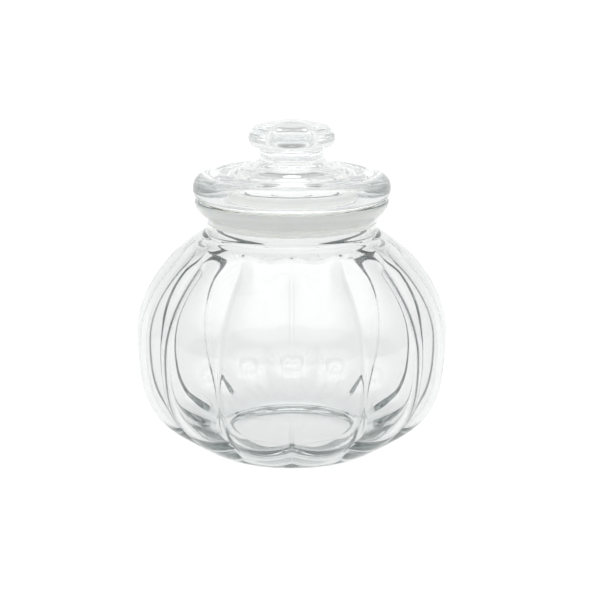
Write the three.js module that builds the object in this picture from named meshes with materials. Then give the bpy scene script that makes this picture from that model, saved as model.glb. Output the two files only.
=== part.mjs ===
// A pumpkin-shaped glass storage jar with a glass lid and a soft sealing ring.
//
// Millimetres, +Z up, origin in the middle of the foot, on the surface the jar stands on.
// All three pieces turn about the Z axis. The jar has thirteen lobes, and one of the grooves
// between them faces -Y, the front.

import * as THREE from "three";

// ---- Driving dimensions ----

const BELLY_RADIUS = 80; // crest of a lobe at its widest
const BELLY_HEIGHT = 57; // where the jar is widest
const LOBES = 13;
const GROOVE_DEPTH = 3.6; // outside, square to the wall
const GROOVE_RUN_OUT_START = 60; // radius on the shoulder where the grooves begin to run out
const GROOVE_RUN_OUT_END = 48;
const WALL = 3.3;

const FOOT_RADIUS = 45;
const FOOT_INNER_RADIUS = 37;
const PUNT_RADIUS = 34; // the hollow under the base
const PUNT_HEIGHT = 2.2;
const FLOOR_RADIUS = 32.6;
const FLOOR_HEIGHT = 8.5;

const NECK_RADIUS = 42.8;
const BORE_RADIUS = NECK_RADIUS - WALL;
const SHOULDER_HEIGHT = 110.6;
const BEAD_RADIUS = 48.8;
const BEAD_BOTTOM = 119.4;
const MOUTH_HEIGHT = 128;

const GAP = 0.3; // between pieces that touch
const SEAL_THICKNESS = 1;
const SEAL_BOTTOM = 115.6;
const SEAL_CHANNEL_DEPTH = 0.8;
const SEAL_CHANNEL_WIDTH = 0.6;
const SEAL_CHANNEL_RISES = [1.8, 5.8]; // how far above the seal's lower edge its channels start
const FLANGE_BOTTOM = MOUTH_HEIGHT + SEAL_THICKNESS + 2 * GAP;
const FLANGE_RADIUS = 49.7;
const PLUG_RADIUS = 36.5;
const PLUG_INNER_RADIUS = 32.8;
const PLUG_BOTTOM = 114.4;
const LID_RIM_TOP = 140.4;
const TIER_RADIUS = 37.1;
const KNOB_NECK_RADIUS = 16.1;
const KNOB_RADIUS = 21.9;
const KNOB_HEIGHT = 159.6; // where the knob is widest
const TOP = 167.5;
const HOLLOW_RADIUS = 9.6; // the hollow that runs up inside the knob
const HOLLOW_TOP = 157.9;

const JAR_SEGMENTS = LOBES * 6;
const LID_SEGMENTS = 48;

// ---- Outlines: points (radius, height), from the underside round the outside to the inside ----

const at = (radius, height) => new THREE.Vector2(radius, height);

// A quadratic or cubic curve through its first and last point, in a number of steps.
function bend(steps, ...points) {
  const curve =
    points.length === 3
      ? new THREE.QuadraticBezierCurve(...points)
      : new THREE.CubicBezierCurve(...points);
  return curve.getPoints(steps);
}

// One list of points from points and bends, without a point repeated where two stretches meet.
function outline(...stretches) {
  const points = stretches.flat();
  return points.filter((p, i) => i === 0 || p.distanceTo(points[i - 1]) > 1e-3);
}

// Points moved square to the line through them, to its left.
function offset(points, distance) {
  return points.map((p, i) => {
    const before = points[Math.max(i - 1, 0)];
    const after = points[Math.min(i + 1, points.length - 1)];
    const along = after.clone().sub(before).normalize();
    return at(p.x - along.y * distance, p.y + along.x * distance);
  });
}

function jarOutline() {
  const belly = outline(
    bend(
      10,
      at(FOOT_RADIUS, 0.5),
      at(BELLY_RADIUS - 8, 15),
      at(BELLY_RADIUS, 24),
      at(BELLY_RADIUS, BELLY_HEIGHT),
    ),
    bend(
      10,
      at(BELLY_RADIUS, BELLY_HEIGHT),
      at(BELLY_RADIUS, 85),
      at(NECK_RADIUS + 9.2, SHOULDER_HEIGHT - 1.2),
      at(NECK_RADIUS + 1.4, SHOULDER_HEIGHT),
    ),
  );
  // Inside, the wall is even down to the thick glass round the floor.
  const insideBelly = offset(belly, WALL).filter((p) => p.y > FLOOR_HEIGHT + 7);
  const lowest = insideBelly[0];
  return outline(
    at(0, PUNT_HEIGHT + 0.8),
    at(PUNT_RADIUS - 8, PUNT_HEIGHT + 0.5),
    bend(3, at(PUNT_RADIUS - 2, PUNT_HEIGHT), at(PUNT_RADIUS + 1.5, PUNT_HEIGHT), at(FOOT_INNER_RADIUS, 0)),
    at(FOOT_RADIUS - 1.8, 0),
    belly,
    bend(
      2,
      at(NECK_RADIUS + 1.4, SHOULDER_HEIGHT),
      at(NECK_RADIUS, SHOULDER_HEIGHT + 1),
      at(NECK_RADIUS, SHOULDER_HEIGHT + 3.5),
    ),
    bend(
      4,
      at(NECK_RADIUS, BEAD_BOTTOM),
      at(BEAD_RADIUS - 1.4, BEAD_BOTTOM + 2.4),
      at(BEAD_RADIUS, MOUTH_HEIGHT - 1.6),
    ),
    at(BEAD_RADIUS - 1.4, MOUTH_HEIGHT),
    at(BORE_RADIUS + 1.2, MOUTH_HEIGHT),
    at(BORE_RADIUS, MOUTH_HEIGHT - 1.2),
    at(BORE_RADIUS, SHOULDER_HEIGHT + 1.5),
    insideBelly.reverse(),
    bend(
      3,
      lowest,
      at(lowest.x - 5, lowest.y - 3.2),
      at(FLOOR_RADIUS + 12, FLOOR_HEIGHT + 3.5),
      at(FLOOR_RADIUS + 4.5, FLOOR_HEIGHT + 1.6),
    ),
    at(FLOOR_RADIUS + 2.4, FLOOR_HEIGHT + 0.5),
    at(FLOOR_RADIUS, FLOOR_HEIGHT),
    at(0, FLOOR_HEIGHT),
  );
}

function lidOutline() {
  return outline(
    // The hollow in the knob and the underside of the dome, down the inside of the plug.
    at(0, HOLLOW_TOP),
    at(4, HOLLOW_TOP - 0.1),
    bend(
      3,
      at(6.5, HOLLOW_TOP - 0.4),
      at(HOLLOW_RADIUS, HOLLOW_TOP - 0.8),
      at(HOLLOW_RADIUS, HOLLOW_TOP - 4.6),
    ),
    at(HOLLOW_RADIUS, 144.5),
    bend(3, at(HOLLOW_RADIUS + 1, 142.2), at(15, 140.8), at(24, 138.2)),
    bend(3, at(PLUG_INNER_RADIUS - 3, 136), at(PLUG_INNER_RADIUS, 134.8), at(PLUG_INNER_RADIUS, 131)),
    at(PLUG_INNER_RADIUS, PLUG_BOTTOM + 1),
    at(PLUG_INNER_RADIUS + 1, PLUG_BOTTOM),
    at(PLUG_RADIUS - 1, PLUG_BOTTOM),
    at(PLUG_RADIUS, PLUG_BOTTOM + 1),
    // The flange, round its rim, and the stepped top.
    at(PLUG_RADIUS, FLANGE_BOTTOM),
    at(FLANGE_RADIUS - 1.8, FLANGE_BOTTOM),
    bend(
      2,
      at(FLANGE_RADIUS - 1.2, FLANGE_BOTTOM + 0.3),
      at(FLANGE_RADIUS - 0.1, FLANGE_BOTTOM + 1.2),
      at(FLANGE_RADIUS, FLANGE_BOTTOM + 3.8),
    ),
    bend(
      4,
      at(FLANGE_RADIUS, FLANGE_BOTTOM + 4),
      at(FLANGE_RADIUS - 0.2, LID_RIM_TOP - 1),
      at(FLANGE_RADIUS - 5.4, LID_RIM_TOP),
    ),
    bend(
      3,
      at(FLANGE_RADIUS - 5.4, LID_RIM_TOP),
      at(TIER_RADIUS + 3.5, LID_RIM_TOP),
      at(TIER_RADIUS + 0.6, LID_RIM_TOP - 3.2),
    ),
    bend(
      3,
      at(TIER_RADIUS, LID_RIM_TOP - 2.6),
      at(TIER_RADIUS + 0.3, LID_RIM_TOP + 1.4),
      at(TIER_RADIUS - 3, LID_RIM_TOP + 1.6),
    ),
    at(28, LID_RIM_TOP + 1.8),
    bend(3, at(26, LID_RIM_TOP + 2.2), at(25.4, LID_RIM_TOP + 4), at(22.6, LID_RIM_TOP + 4.6)),
    bend(4, at(20, LID_RIM_TOP + 5.2), at(KNOB_NECK_RADIUS, LID_RIM_TOP + 6), at(KNOB_NECK_RADIUS, 150.5)),
    bend(3, at(KNOB_NECK_RADIUS, 152), at(KNOB_NECK_RADIUS + 0.4, 154), at(19.4, 154.9)),
    bend(3, at(19.4, 154.9), at(KNOB_RADIUS, 156), at(KNOB_RADIUS, KNOB_HEIGHT)),
    bend(4, at(KNOB_RADIUS, KNOB_HEIGHT), at(KNOB_RADIUS, 163.4), at(17, 164.8)),
    at(9, TOP - 1),
    at(0, TOP),
  );
}

// The ring's outline closes on itself. A flange lies on the mouth, and three bands face the bore.
function sealOutline() {
  const inner = PLUG_RADIUS + GAP;
  const bore = BORE_RADIUS - GAP;
  const flangeRadius = BEAD_RADIUS - 2.6;
  const flangeTop = FLANGE_BOTTOM - GAP;
  const channel = (height) => [
    at(bore, height),
    at(bore - SEAL_CHANNEL_DEPTH, height),
    at(bore - SEAL_CHANNEL_DEPTH, height + SEAL_CHANNEL_WIDTH),
    at(bore, height + SEAL_CHANNEL_WIDTH),
  ];
  return outline(
    at(inner, SEAL_BOTTOM),
    at(bore - 0.5, SEAL_BOTTOM),
    at(bore, SEAL_BOTTOM + 0.5),
    SEAL_CHANNEL_RISES.flatMap((rise) => channel(SEAL_BOTTOM + rise)),
    at(bore, MOUTH_HEIGHT - 1.1),
    at(bore + 1.4, MOUTH_HEIGHT + GAP),
    at(flangeRadius, MOUTH_HEIGHT + GAP),
    at(flangeRadius, flangeTop),
    at(inner, flangeTop),
    at(inner, SEAL_BOTTOM),
  );
}

// ---- Solids ----

// An outline turned about Z. The lathe turns about Y, and its first segment comes to face -Y.
const turned = (points, segments) => new THREE.LatheGeometry(points, segments).rotateX(Math.PI / 2);

// How far a point between two grooves lies inside the crest of its lobe, on the surface that is
// inset from the outer one. Each lobe is an arc of a circle, and the inside is parallel to it.
function lobeDrop(azimuth, inset) {
  const half = Math.PI / LOBES;
  const grooveRadius = BELLY_RADIUS - GROOVE_DEPTH;
  const chord = grooveRadius * Math.sin(half);
  const rise = BELLY_RADIUS - grooveRadius * Math.cos(half);
  const outerArc = (chord * chord + rise * rise) / (2 * rise);
  const centre = BELLY_RADIUS - outerArc;
  const arc = outerArc - inset;
  const turn = THREE.MathUtils.euclideanModulo(azimuth, 2 * half) - half;
  const radius = centre * Math.cos(turn) + Math.sqrt(arc * arc - (centre * Math.sin(turn)) ** 2);
  return BELLY_RADIUS - inset - radius;
}

// How much of a groove's depth is left at a point: they run out low down and on the shoulder.
function grooveFade(point, isOutside) {
  const { smoothstep } = THREE.MathUtils;
  const underneath = isOutside && point.x < FOOT_RADIUS - 1;
  if (underneath || point.y > SHOULDER_HEIGHT - 0.1) {
    return 0;
  }
  const low = isOutside ? 0.8 : FLOOR_HEIGHT + 1;
  const high = isOutside ? 12 : FLOOR_HEIGHT + 7;
  const inset = isOutside ? 0 : WALL / 3;
  const runOut = smoothstep(point.x, GROOVE_RUN_OUT_END - inset, GROOVE_RUN_OUT_START - inset);
  return smoothstep(point.y, low, high) * (point.y < BELLY_HEIGHT ? 1 : runOut);
}

// Presses the grooves into a turned jar, square to its wall. Points are the outline it was turned from.
function addGrooves(geometry, points) {
  const position = geometry.getAttribute("position");
  const top = points.findIndex((p) => p.y === MOUTH_HEIGHT);
  for (let i = 0; i < position.count; i++) {
    const j = i % points.length;
    const before = points[Math.max(j - 1, 0)];
    const after = points[Math.min(j + 1, points.length - 1)];
    const along = after.clone().sub(before).normalize();
    const isOutside = j < top;
    const azimuth = Math.atan2(position.getX(i), -position.getY(i));
    const drop = lobeDrop(azimuth, isOutside ? 0 : WALL) * grooveFade(points[j], isOutside);
    const push = isOutside ? drop : -drop;
    const radius = points[j].x - push * along.y;
    position.setXYZ(
      i,
      radius * Math.sin(azimuth),
      -radius * Math.cos(azimuth),
      points[j].y + push * along.x,
    );
  }
  return geometry;
}

// ---- Materials ----

const glass = () =>
  new THREE.MeshStandardMaterial({
    color: 0xeef2f1,
    roughness: 0.03,
    metalness: 0,
    transparent: true,
    opacity: 0.35,
  });
const softPlastic = () =>
  new THREE.MeshStandardMaterial({ color: 0xe9e8e1, roughness: 0.45, metalness: 0 });

function piece(name, geometry, material) {
  const mesh = new THREE.Mesh(geometry, material);
  mesh.name = name;
  return mesh;
}

const jarPoints = jarOutline();
const jar = piece("jar", addGrooves(turned(jarPoints, JAR_SEGMENTS), jarPoints), glass());
const lid = piece("lid", turned(lidOutline(), LID_SEGMENTS), glass());
const seal = piece("seal_ring", turned(sealOutline(), LID_SEGMENTS), softPlastic());

const group = new THREE.Group();
group.add(jar, lid, seal);

export default group;
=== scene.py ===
"""A lobed glass storage jar with a glass lid and a soft sealing ring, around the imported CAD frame.

All lengths in the outlines are millimetres, as on a drawing, and are turned into metres when a
mesh is made. Every outline is a list of control points (radius, height) for a smooth curve.
"""

import math

import bpy
import numpy as np
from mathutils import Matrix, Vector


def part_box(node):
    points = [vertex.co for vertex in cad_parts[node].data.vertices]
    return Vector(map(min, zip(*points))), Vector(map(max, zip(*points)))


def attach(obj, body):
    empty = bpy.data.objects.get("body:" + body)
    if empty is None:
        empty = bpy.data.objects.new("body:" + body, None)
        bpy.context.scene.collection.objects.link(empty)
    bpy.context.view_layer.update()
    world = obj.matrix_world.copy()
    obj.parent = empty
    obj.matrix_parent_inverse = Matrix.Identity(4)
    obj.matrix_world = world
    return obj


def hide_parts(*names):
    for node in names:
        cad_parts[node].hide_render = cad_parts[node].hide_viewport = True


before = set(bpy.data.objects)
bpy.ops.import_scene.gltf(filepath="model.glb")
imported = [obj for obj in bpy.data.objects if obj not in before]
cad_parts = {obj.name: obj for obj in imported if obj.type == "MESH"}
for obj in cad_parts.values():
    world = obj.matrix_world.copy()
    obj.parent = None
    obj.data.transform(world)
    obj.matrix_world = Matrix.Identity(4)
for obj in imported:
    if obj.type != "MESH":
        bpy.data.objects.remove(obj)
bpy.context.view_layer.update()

MM = 0.001


def mm_box(node):
    """The lowest and highest corner of a CAD node, in millimetres."""
    low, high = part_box(node)
    return [c / MM for c in low], [c / MM for c in high]


# ---- Sizes ----

MOUTH_HEIGHT = mm_box("jar")[1][2]
LID_LOW, LID_HIGH = mm_box("lid")
SEAL_LOW, SEAL_HIGH = mm_box("seal_ring")

LOBES = 13
BELLY_RADIUS = 80.0
BELLY_HEIGHT = 57.0
GROOVE_DEPTH = 3.6
GROOVE_ROUNDING = 0.7  # degrees
INSIDE_ROUNDING = 0.8  # degrees
GROOVE_CROWDING = 0.85  # how much closer together mesh columns are near a groove, 0 to 1
COLUMNS_PER_LOBE = 26
COLUMNS_ROUND = 192  # mesh columns of the round pieces
GROOVE_RUN_OUT = (48.0, 60.0)  # radii between which the grooves run out on the shoulder
WALL = 3.3
FOOT_RADIUS = 45.0
FOOT_INNER_RADIUS = 37.0
FLOOR_RADIUS = 32.6
FLOOR_HEIGHT = 8.5
BASE_HOLLOW = 3.0  # how far the underside rises inside the foot ring
NECK_RADIUS = 42.8
NECK_TOP = 118.6
BORE_RADIUS = NECK_RADIUS - WALL
SHOULDER_HEIGHT = 110.6
BEAD_RADIUS = 48.8

FLANGE_RADIUS = LID_HIGH[0]
FLANGE_BOTTOM = 129.6
PLUG_RADIUS = 36.5
PLUG_INNER_RADIUS = 32.8
PLUG_BOTTOM = LID_LOW[2]
LID_RIM_TOP = 140.4
TIER_RADIUS = 37.1
KNOB_NECK_RADIUS = 16.1
KNOB_RADIUS = 21.9
TOP = LID_HIGH[2]
HOLLOW_RADIUS = 9.6
HOLLOW_TOP = 157.9

GAP = 0.3
SEAL_SQUEEZE = 0.12  # how far the soft ring stands into the bore's glass, as if wetting it
SEAL_BANDS = (115.6, 117.4, 118.0, 121.4, 122.0, 127.7)
SEAL_CHANNEL = 0.8


# ---- Curves and turned solids ----


def bezier(steps, *points):
    """Points on the cubic or quadratic curve through its first and last control point."""
    t = np.linspace(0, 1, steps + 1)[:, None]
    p = [np.array(q, float) for q in points]
    if len(p) == 3:
        return list((1 - t) ** 2 * p[0] + 2 * (1 - t) * t * p[1] + t**2 * p[2])
    return list(
        (1 - t) ** 3 * p[0] + 3 * (1 - t) ** 2 * t * p[1] + 3 * (1 - t) * t**2 * p[2] + t**3 * p[3]
    )


def outline(*stretches):
    """One array of points from points and lists of points, with no point repeated."""
    points = []
    for stretch in stretches:
        for p in stretch if isinstance(stretch, list) else [stretch]:
            p = np.array(p, float)
            if not points or np.linalg.norm(p - points[-1]) > 1e-3:
                points.append(p)
    return np.array(points)


def smooth(points, steps, closed=False):
    """The cubic B-spline of these control points. An open one starts and ends on the axis."""
    if closed:
        q = np.vstack([points[-1:], points, points[:2]])
    else:
        flip = np.array([-1, 1])
        q = np.vstack([points[1] * flip, points, points[-2] * flip])
    out = []
    for i in range(len(q) - 3):
        for t in np.arange(steps) / steps:
            w = np.array([(1 - t) ** 3, 3 * t**3 - 6 * t**2 + 4, -3 * t**3 + 3 * t**2 + 3 * t + 1, t**3])
            out.append(w @ q[i : i + 4] / 6)
    if not closed:
        out.append((q[-3] + 4 * q[-2] + q[-1]) / 6)
        out[0][0] = out[-1][0] = 0.0
    return np.array(out)


def offset(points, distance):
    """Points moved square to the line through them, to its left."""
    along = np.gradient(np.array(points), axis=0)
    along /= np.linalg.norm(along, axis=1)[:, None]
    return [np.array(p) + distance * np.array([-a[1], a[0]]) for p, a in zip(points, along)]


def turned_mesh(name, profile, azimuths, push=None, closed=False):
    """A closed mesh made by turning a profile about Z, from the front (-Y) round by +X.

    push(profile, azimuth) gives how far each profile point moves along its normal.
    """
    along = np.gradient(profile, axis=0)
    along /= np.maximum(np.linalg.norm(along, axis=1), 1e-9)[:, None]
    normals = np.stack([along[:, 1], -along[:, 0]], axis=1)
    rows = profile if closed else profile[1:-1]
    columns = []
    for a in azimuths:
        p = profile if push is None else profile + push(profile, a)[:, None] * normals
        p = p if closed else p[1:-1]
        columns.append(np.stack([p[:, 0] * math.sin(a), -p[:, 0] * math.cos(a), p[:, 1]], axis=1))
    n, m = len(rows), len(azimuths)
    co = np.concatenate(columns)
    faces = []
    for j in range(m):
        k = (j + 1) % m
        for i in range(n if closed else n - 1):
            up = (i + 1) % n
            faces.append((j * n + i, k * n + i, k * n + up, j * n + up))
    if not closed:
        first, last = len(co), len(co) + 1
        co = np.vstack([co, [0, 0, profile[0][1]], [0, 0, profile[-1][1]]])
        for j in range(m):
            k = (j + 1) % m
            faces.append((first, k * n, j * n))
            faces.append((last, j * n + n - 1, k * n + n - 1))
    mesh = bpy.data.meshes.new(name)
    mesh.from_pydata((co * MM).tolist(), [], faces)
    mesh.shade_smooth()
    mesh.update()
    return mesh


# ---- The jar ----


def jar_outline():
    """The jar's wall: under the base, up the outside, over the mouth, down the inside to the floor."""
    belly = outline(
        bezier(
            12,
            (FOOT_RADIUS, 0.5),
            (BELLY_RADIUS - 8, 15),
            (BELLY_RADIUS, 24),
            (BELLY_RADIUS, BELLY_HEIGHT),
        ),
        bezier(
            12,
            (BELLY_RADIUS, BELLY_HEIGHT),
            (BELLY_RADIUS, 85),
            (NECK_RADIUS + 9.2, SHOULDER_HEIGHT - 1.2),
            (NECK_RADIUS + 1.4, SHOULDER_HEIGHT),
        ),
    )
    inside = [p for p in offset(list(belly), WALL) if p[1] > FLOOR_HEIGHT + 7]
    low = inside[0]
    return outline(
        (0, BASE_HOLLOW),
        (10, BASE_HOLLOW),
        (24, 2.8),
        bezier(3, (32, 2.3), (35.5, 2.0), (FOOT_INNER_RADIUS, 0)),
        (39, 0),
        (41.5, 0),
        (FOOT_RADIUS - 1.5, 0),
        list(belly),
        bezier(
            3,
            (NECK_RADIUS + 0.8, SHOULDER_HEIGHT + 0.4),
            (NECK_RADIUS, SHOULDER_HEIGHT + 1),
            (NECK_RADIUS, SHOULDER_HEIGHT + 3.5),
        ),
        (NECK_RADIUS, 117),
        (NECK_RADIUS, NECK_TOP),
        (NECK_RADIUS + 0.4, 119.4),
        bezier(4, (NECK_RADIUS + 1.2, 119.7), (BEAD_RADIUS - 1.4, 121.8), (BEAD_RADIUS, 126.2)),
        bezier(
            3,
            (BEAD_RADIUS, 127),
            (BEAD_RADIUS - 0.3, MOUTH_HEIGHT),
            (BEAD_RADIUS - 1.6, MOUTH_HEIGHT),
        ),
        (BEAD_RADIUS - 3.2, MOUTH_HEIGHT),
        (BORE_RADIUS + 3.4, MOUTH_HEIGHT),
        bezier(
            3,
            (BORE_RADIUS + 1.6, MOUTH_HEIGHT),
            (BORE_RADIUS, MOUTH_HEIGHT),
            (BORE_RADIUS, MOUTH_HEIGHT - 1.6),
        ),
        (BORE_RADIUS, 124),
        (BORE_RADIUS, 120),
        (BORE_RADIUS, 116),
        (BORE_RADIUS, SHOULDER_HEIGHT + 2),
        inside[::-1],
        bezier(
            5,
            low,
            (low[0] - 5, low[1] - 3.2),
            (FLOOR_RADIUS + 12, FLOOR_HEIGHT + 3.5),
            (FLOOR_RADIUS + 4.5, FLOOR_HEIGHT + 1.6),
        ),
        (FLOOR_RADIUS + 3.2, FLOOR_HEIGHT + 1.0),
        (FLOOR_RADIUS + 2.0, FLOOR_HEIGHT + 0.35),
        (FLOOR_RADIUS + 0.8, FLOOR_HEIGHT + 0.05),
        (FLOOR_RADIUS - 0.6, FLOOR_HEIGHT),
        (24, FLOOR_HEIGHT),
        (10, FLOOR_HEIGHT),
        (0, FLOOR_HEIGHT),
    )


def smoothstep(x, low, high):
    """0 below low, 1 above high and a smooth rise between them."""
    t = np.clip((x - low) / (high - low), 0, 1)
    return t * t * (3 - 2 * t)


def lobe_drop(azimuth, inset, rounding):
    """How far inside its lobe's crest a point lies, in millimetres.

    Each lobe is an arc of a circle. inset: how far inside the outer surface the surface is that the
    point is on. rounding: how softly the valley between two arcs is rounded, in degrees.
    """
    half = math.pi / LOBES
    groove = BELLY_RADIUS - GROOVE_DEPTH
    chord = groove * math.sin(half)
    rise = BELLY_RADIUS - groove * math.cos(half)
    outer_arc = (chord * chord + rise * rise) / (2 * rise)
    centre = BELLY_RADIUS - outer_arc
    arc = outer_arc - inset
    turn = (azimuth % (2 * half)) - half
    turn = half - math.sqrt((half - abs(turn)) ** 2 + math.radians(rounding) ** 2)
    radius = centre * math.cos(turn) + math.sqrt(arc * arc - (centre * math.sin(turn)) ** 2)
    return BELLY_RADIUS - inset - radius


def jar_push(profile, azimuth):
    """How far each point of the jar's outline moves along its normal, to make the lobes."""
    radius, height = profile[:, 0], profile[:, 1]
    top = int(np.argmax(height))
    is_outside = np.arange(len(profile)) <= top
    start, end = GROOVE_RUN_OUT
    inset = np.where(is_outside, 0, WALL / 3)
    upper = np.where(height < BELLY_HEIGHT, 1, smoothstep(radius, start - inset, end - inset))
    upper = np.where(height < SHOULDER_HEIGHT, upper, 0)
    low = np.where(radius > FOOT_RADIUS - 2, smoothstep(height, 0.8, 12), 0)
    outside = lobe_drop(azimuth, 0, GROOVE_ROUNDING) * low
    above_floor = smoothstep(height, FLOOR_HEIGHT + 1, FLOOR_HEIGHT + 7)
    inside = lobe_drop(azimuth, WALL, INSIDE_ROUNDING) * above_floor
    return np.where(is_outside, -outside, inside) * upper


def lobe_azimuths(per_lobe):
    """Azimuths round the jar, closer together near the grooves."""
    u = np.arange(per_lobe) / per_lobe
    eased = u - GROOVE_CROWDING * np.sin(2 * np.pi * u) / (2 * np.pi)
    return [(lobe + e) * 2 * math.pi / LOBES for lobe in range(LOBES) for e in eased]


def even_azimuths(count):
    return [2 * math.pi * i / count for i in range(count)]


# ---- The lid ----


def lid_outline():
    """The lid: down inside the knob and plug, up the outside, over the flange, steps and knob."""
    return outline(
        (0, HOLLOW_TOP),
        (4, HOLLOW_TOP - 0.1),
        bezier(
            4,
            (6.5, HOLLOW_TOP - 0.4),
            (HOLLOW_RADIUS, HOLLOW_TOP - 0.8),
            (HOLLOW_RADIUS, HOLLOW_TOP - 4.6),
        ),
        (HOLLOW_RADIUS, 150),
        (HOLLOW_RADIUS, 148),
        (HOLLOW_RADIUS, 146),
        bezier(4, (HOLLOW_RADIUS, 144.5), (HOLLOW_RADIUS + 1, 142.2), (15, 140.8), (24, 138.2)),
        bezier(
            4,
            (26, 137.5),
            (PLUG_INNER_RADIUS - 3, 136.4),
            (PLUG_INNER_RADIUS, 135.2),
            (PLUG_INNER_RADIUS, 131),
        ),
        (PLUG_INNER_RADIUS, 126),
        (PLUG_INNER_RADIUS, 121),
        (PLUG_INNER_RADIUS, PLUG_BOTTOM + 3),
        (PLUG_INNER_RADIUS + 0.2, PLUG_BOTTOM + 1),
        (PLUG_INNER_RADIUS + 0.9, PLUG_BOTTOM),
        (PLUG_RADIUS - 0.9, PLUG_BOTTOM),
        (PLUG_RADIUS - 0.2, PLUG_BOTTOM + 1),
        (PLUG_RADIUS, PLUG_BOTTOM + 3),
        (PLUG_RADIUS, 120),
        (PLUG_RADIUS, 125),
        (PLUG_RADIUS, FLANGE_BOTTOM - 1.2),
        (PLUG_RADIUS, FLANGE_BOTTOM - 0.1),
        (PLUG_RADIUS + 0.2, FLANGE_BOTTOM),
        (PLUG_RADIUS + 2, FLANGE_BOTTOM),
        (FLANGE_RADIUS - 6, FLANGE_BOTTOM),
        (FLANGE_RADIUS - 2.6, FLANGE_BOTTOM),
        (FLANGE_RADIUS - 1.2, FLANGE_BOTTOM + 0.2),
        (FLANGE_RADIUS - 0.3, FLANGE_BOTTOM + 1.4),
        bezier(
            6,
            (FLANGE_RADIUS, FLANGE_BOTTOM + 4),
            (FLANGE_RADIUS - 0.2, LID_RIM_TOP - 1),
            (FLANGE_RADIUS - 5.4, LID_RIM_TOP),
        ),
        bezier(
            4,
            (FLANGE_RADIUS - 7.2, LID_RIM_TOP + 0.1),
            (TIER_RADIUS + 3.5, LID_RIM_TOP),
            (TIER_RADIUS + 1, LID_RIM_TOP - 3.3),
        ),
        (TIER_RADIUS + 0.3, LID_RIM_TOP - 3.4),
        bezier(
            4,
            (TIER_RADIUS, LID_RIM_TOP - 2.6),
            (TIER_RADIUS + 0.3, LID_RIM_TOP + 1.4),
            (TIER_RADIUS - 3, LID_RIM_TOP + 1.6),
        ),
        (31, LID_RIM_TOP + 1.7),
        (28, LID_RIM_TOP + 1.8),
        bezier(4, (26.4, LID_RIM_TOP + 2.1), (25.4, LID_RIM_TOP + 4), (22.6, LID_RIM_TOP + 4.6)),
        bezier(
            5,
            (21, LID_RIM_TOP + 4.8),
            (KNOB_NECK_RADIUS, LID_RIM_TOP + 6),
            (KNOB_NECK_RADIUS, 150.5),
        ),
        bezier(4, (KNOB_NECK_RADIUS, 152), (KNOB_NECK_RADIUS + 0.3, 154.2), (19.4, 154.9)),
        bezier(8, (20.2, 155.1), (KNOB_RADIUS + 0.6, 156.2), (KNOB_RADIUS + 0.6, 163.4), (17, 164.8)),
        (13, 165.7),
        (8.5, TOP - 0.9),
        (4, TOP - 0.1),
        (0, TOP),
    )


# ---- The sealing ring ----


def seal_outline():
    """The ring presses on the bore in three bands, with a narrow channel between each two."""
    inner = PLUG_RADIUS + GAP
    press = BORE_RADIUS + SEAL_SQUEEZE
    flange_top = SEAL_HIGH[2]
    flange_bottom = MOUTH_HEIGHT + GAP
    bottom = SEAL_LOW[2]
    points = [(inner + 0.3, bottom), (press - 0.6, bottom)]
    for low, high in zip(SEAL_BANDS[::2], SEAL_BANDS[1::2]):
        points += [
            (press - 0.15, low + 0.05),
            (press, low + 0.4),
            (press, (low + high) / 2),
            (press, high - 0.4),
            (press - 0.15, high - 0.05),
            (press - SEAL_CHANNEL, high + 0.1),
            (press - SEAL_CHANNEL, high + 0.5),
        ]
    return outline(
        points[:-2],
        (BORE_RADIUS + 0.2, flange_bottom - 0.1),
        (BORE_RADIUS + 0.8, flange_bottom),
        (BORE_RADIUS + 2, flange_bottom),
        (BEAD_RADIUS - 4.5, flange_bottom),
        (BEAD_RADIUS - 2.9, flange_bottom),
        (BEAD_RADIUS - 2.6, flange_bottom + 0.1),
        (BEAD_RADIUS - 2.6, flange_top - 0.1),
        (BEAD_RADIUS - 2.9, flange_top),
        (BEAD_RADIUS - 4.5, flange_top),
        (inner + 1.5, flange_top),
        (inner, flange_top),
        (inner, flange_top - 0.3),
        (inner, 125),
        (inner, 120),
        (inner, bottom + 0.4),
    )


# ---- Materials ----

# The light below and these glass values are a fit to the photo's tones, not measured properties.
GLASS_IOR = 1.52
ABSORPTION_COLOUR = (0.50, 0.56, 0.55, 1)
JAR_TINT = (0.93, 0.932, 0.932)
JAR_ABSORPTION = 26.0  # density per metre, several times that of real glass
JAR_WAVES = (0.03, 0.00008)  # length and depth of the waves in the surface, in metres
LID_TINT = (0.97, 0.973, 0.973)
LID_ABSORPTION = 5.0
LID_WAVES = (0.02, 0.0001)

SEAL_COLOURS = ((0.95, 0.94, 0.89, 1), (0.975, 0.965, 0.93, 1))
SEAL_COLOUR_STOPS = (0.3, 0.7)
SEAL_SCATTER = (1.0, 0.95, 0.85)  # red, green and blue, as shares of the depth
SEAL_SCATTER_DEPTH = 0.006  # metres
SEAL_CLOUD_SCALE = 60.0
SEAL_ROUGHNESS = (0.36, 0.5)


def new_material(name):
    """A material with its nodes, its links and its Principled shader."""
    material = bpy.data.materials.new(name)
    material.use_nodes = True
    nodes = material.node_tree.nodes
    return material, nodes, material.node_tree.links, nodes["Principled BSDF"]


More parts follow.
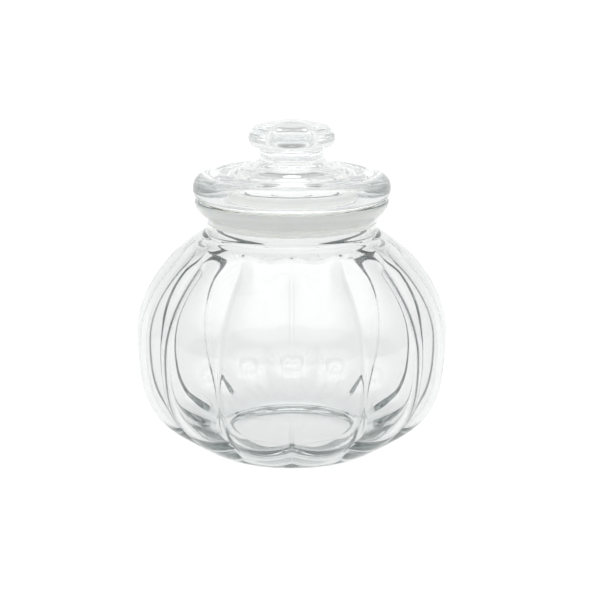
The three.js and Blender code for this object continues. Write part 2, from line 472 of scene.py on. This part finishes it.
def pressed_glass(name, waves_size_and_depth, tint, density):
    """Clear glass that has flowed in a mould: long faint waves and a finer ripple."""
    wave_size, wave_depth = waves_size_and_depth
    material, nodes, links, shader = new_material(name)
    shader.inputs["Base Color"].default_value = (*tint, 1)
    shader.inputs["Roughness"].default_value = 0.0
    shader.inputs["IOR"].default_value = GLASS_IOR
    shader.inputs["Transmission Weight"].default_value = 1.0
    place = nodes.new("ShaderNodeTexCoord")
    waves = nodes.new("ShaderNodeTexNoise")
    waves.inputs["Scale"].default_value = 1 / wave_size
    waves.inputs["Detail"].default_value = 2.0
    links.new(place.outputs["Object"], waves.inputs["Vector"])
    bump = nodes.new("ShaderNodeBump")
    bump.inputs["Strength"].default_value = 1.0
    bump.inputs["Distance"].default_value = wave_depth
    links.new(waves.outputs["Fac"], bump.inputs["Height"])
    links.new(bump.outputs["Normal"], shader.inputs["Normal"])
    absorb = nodes.new("ShaderNodeVolumeAbsorption")
    absorb.inputs["Color"].default_value = ABSORPTION_COLOUR
    absorb.inputs["Density"].default_value = density
    links.new(absorb.outputs["Volume"], nodes["Material Output"].inputs["Volume"])
    return material


def soft_plastic(name):
    """Milky soft plastic with a satin skin."""
    material, nodes, links, shader = new_material(name)
    shader.inputs["Subsurface Weight"].default_value = 1.0
    shader.inputs["Subsurface Radius"].default_value = SEAL_SCATTER
    shader.inputs["Subsurface Scale"].default_value = SEAL_SCATTER_DEPTH
    place = nodes.new("ShaderNodeTexCoord")
    cloud = nodes.new("ShaderNodeTexNoise")
    cloud.inputs["Scale"].default_value = SEAL_CLOUD_SCALE
    cloud.inputs["Detail"].default_value = 4.0
    links.new(place.outputs["Object"], cloud.inputs["Vector"])
    colour = nodes.new("ShaderNodeValToRGB")
    for element, position, shade in zip(colour.color_ramp.elements, SEAL_COLOUR_STOPS, SEAL_COLOURS):
        element.position = position
        element.color = shade
    links.new(cloud.outputs["Fac"], colour.inputs["Fac"])
    links.new(colour.outputs["Color"], shader.inputs["Base Color"])
    sheen = nodes.new("ShaderNodeMapRange")
    sheen.inputs["To Min"].default_value = SEAL_ROUGHNESS[0]
    sheen.inputs["To Max"].default_value = SEAL_ROUGHNESS[1]
    links.new(cloud.outputs["Fac"], sheen.inputs["Value"])
    links.new(sheen.outputs["Result"], shader.inputs["Roughness"])
    return material


# ---- Pieces ----


def piece(name, mesh, material, body, node):
    """A visible piece that rides on a body and stands for a CAD node."""
    mesh.materials.append(material)
    obj = bpy.data.objects.new(name, mesh)
    bpy.context.scene.collection.objects.link(obj)
    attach(obj, body)
    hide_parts(node)
    return obj


jar_mesh = turned_mesh("glass_jar", smooth(jar_outline(), 3), lobe_azimuths(COLUMNS_PER_LOBE), jar_push)
lid_mesh = turned_mesh("glass_lid", smooth(lid_outline(), 3), even_azimuths(COLUMNS_ROUND))
seal_profile = smooth(seal_outline(), 2, closed=True)
seal_mesh = turned_mesh("soft_seal", seal_profile, even_azimuths(COLUMNS_ROUND), closed=True)

jar_glass = pressed_glass("jar_glass_look", JAR_WAVES, JAR_TINT, JAR_ABSORPTION)
piece("glass_jar", jar_mesh, jar_glass, "jar", "jar")
lid_glass = pressed_glass("lid_glass_look", LID_WAVES, LID_TINT, LID_ABSORPTION)
piece("glass_lid", lid_mesh, lid_glass, "lid", "lid")
piece("soft_seal", seal_mesh, soft_plastic("seal_look"), "ring", "seal_ring")


# ---- Floor, light and camera ----

FLOOR_SIZE = 12  # radius in metres
FLOOR_GREY = 0.15
FLOOR_GLOW = 0.86  # emission, so that the floor is as white as the background

# Brightness of the sky, as (sine of elevation, grey) stops.
SKY_FRONT = [(0.0, 0.4), (0.3, 0.5), (0.5, 1.6), (0.7, 2.4), (0.9, 2.6)]
SKY_BACK = [(0.0, 1.0), (0.34, 1.0), (0.5, 0.6), (0.77, 0.4), (0.9, 2.6)]
SKY_BLEND = 0.7  # front and back blend into each other between minus and plus this, along Y

CAMERA_DISTANCE = 0.9  # metres
CAMERA_ELEVATION = 14.08  # degrees
CAMERA_AIM_HEIGHT = 0.073
CAMERA_SENSOR = 36
CAMERA_LENS = 106
CAMERA_SHIFT = (8.2 / 600, 4.1 / 600)

GLASS_BOUNCES = 64  # light crosses many glass surfaces before it leaves
DIFFUSE_BOUNCES = 16


def studio_floor():
    """A pale matt floor."""
    bpy.ops.mesh.primitive_circle_add(vertices=96, radius=FLOOR_SIZE, fill_type="NGON", location=(0, 0, 0))
    floor = bpy.context.object
    floor.name = "studio_floor"
    material, nodes, links, shader = new_material("floor_look")
    shader.inputs["Base Color"].default_value = (FLOOR_GREY, FLOOR_GREY, FLOOR_GREY, 1)
    shader.inputs["Roughness"].default_value = 0.9
    shader.inputs["Specular IOR Level"].default_value = 0.0
    shader.inputs["Emission Color"].default_value = (1, 1, 1, 1)
    shader.inputs["Emission Strength"].default_value = FLOOR_GLOW
    floor.data.materials.append(material)


def studio_sky(front, back):
    """A white tent. front and back: brightness by elevation, as (sine of elevation, grey) stops.

    The front is where the camera is. The sides are half of each.
    """
    world = bpy.data.worlds.new("studio")
    bpy.context.scene.world = world
    world.use_nodes = True
    nodes, links = world.node_tree.nodes, world.node_tree.links
    place = nodes.new("ShaderNodeTexCoord")
    split = nodes.new("ShaderNodeSeparateXYZ")
    links.new(place.outputs["Generated"], split.inputs["Vector"])
    ramps = []
    for stops in (front, back):
        ramp = nodes.new("ShaderNodeValToRGB")
        ramp.color_ramp.interpolation = "EASE"
        elements = ramp.color_ramp.elements
        while len(elements) < len(stops):
            elements.new(0.5)
        for element, (position, grey) in zip(elements, stops):
            element.position = position
            element.color = (grey, grey, grey, 1)
        links.new(split.outputs["Z"], ramp.inputs["Fac"])
        ramps.append(ramp)
    side = nodes.new("ShaderNodeMapRange")
    side.interpolation_type = "SMOOTHSTEP"
    side.inputs["From Min"].default_value = -SKY_BLEND
    side.inputs["From Max"].default_value = SKY_BLEND
    links.new(split.outputs["Y"], side.inputs["Value"])
    mix = nodes.new("ShaderNodeMix")
    mix.data_type = "RGBA"
    links.new(side.outputs["Result"], mix.inputs["Factor"])
    links.new(ramps[0].outputs["Color"], mix.inputs["A"])
    links.new(ramps[1].outputs["Color"], mix.inputs["B"])
    links.new(mix.outputs["Result"], nodes["Background"].inputs["Color"])
    nodes["Background"].inputs["Strength"].default_value = 1.0


def studio_camera():
    """A long lens, looking down at the jar from the front."""
    elevation = math.radians(CAMERA_ELEVATION)
    away = CAMERA_DISTANCE * math.cos(elevation)
    height = CAMERA_AIM_HEIGHT + CAMERA_DISTANCE * math.sin(elevation)
    data = bpy.data.cameras.new("camera")
    data.sensor_width = CAMERA_SENSOR
    data.lens = CAMERA_LENS
    data.shift_x, data.shift_y = CAMERA_SHIFT
    camera = bpy.data.objects.new("camera", data)
    camera.location = (0, -away, height)
    camera.rotation_euler = (math.pi / 2 - elevation, 0, 0)
    bpy.context.scene.collection.objects.link(camera)
    bpy.context.scene.camera = camera


studio_floor()
studio_sky(SKY_FRONT, SKY_BACK)
studio_camera()
scene = bpy.context.scene
scene.view_settings.view_transform = "Standard"
scene.cycles.max_bounces = GLASS_BOUNCES
scene.cycles.transmission_bounces = GLASS_BOUNCES
scene.cycles.glossy_bounces = GLASS_BOUNCES
scene.cycles.diffuse_bounces = DIFFUSE_BOUNCES
scene.cycles.blur_glossy = 0.0  # with this and the diffuse bounces at their defaults the seal looks grey
